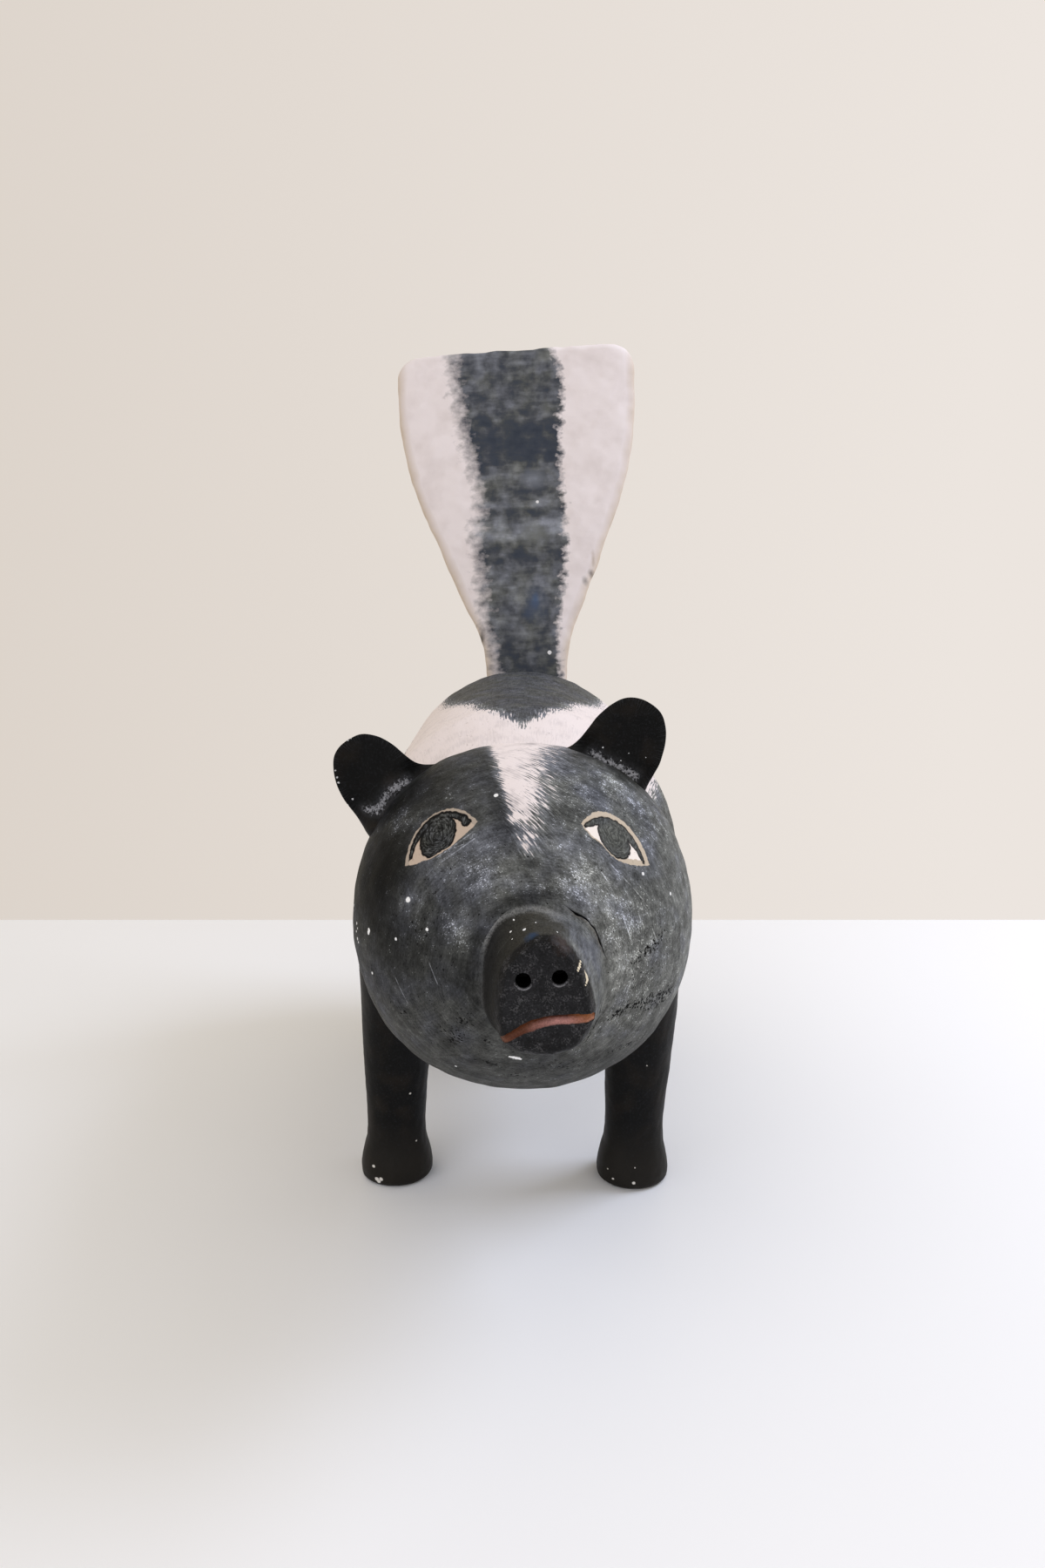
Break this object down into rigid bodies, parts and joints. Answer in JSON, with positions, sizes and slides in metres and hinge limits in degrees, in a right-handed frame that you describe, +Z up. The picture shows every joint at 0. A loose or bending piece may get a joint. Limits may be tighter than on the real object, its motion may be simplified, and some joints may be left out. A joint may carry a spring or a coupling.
{
  "type": "carved wooden skunk sculpture",
  "caption": "Life-size standing skunk of carved, painted wood: log body with ball head, stub muzzle, leaf ears, post legs and a raised paddle tail.",
  "frame": {"origin": "on the surface it stands on, under the middle of its overall box", "axes": "+Z up, -Y the way it faces, +X towards its own left side"},
  "size_m": [0.1709, 0.4515, 0.4692],
  "materials": {
    "black_paint": "wood brushed with thin slate-black paint, matt and rubbed grey, with a white blaze, nape and flanks of the back",
    "satin_black_paint": "wood brushed with full black paint, low satin sheen",
    "white_paint": "wood brushed with warm white paint, matt, with a slate-black stripe down the middle of the front and back"
  },
  "bodies": {
    "root": {"body": "black_paint", "muzzle": "satin_black_paint", "ear_left": "satin_black_paint", "ear_right": "satin_black_paint", "leg_front_left": "satin_black_paint", "leg_front_right": "satin_black_paint", "leg_rear_left": "satin_black_paint", "leg_rear_right": "satin_black_paint", "tail": "white_paint"}
  },
  "joints": []
}
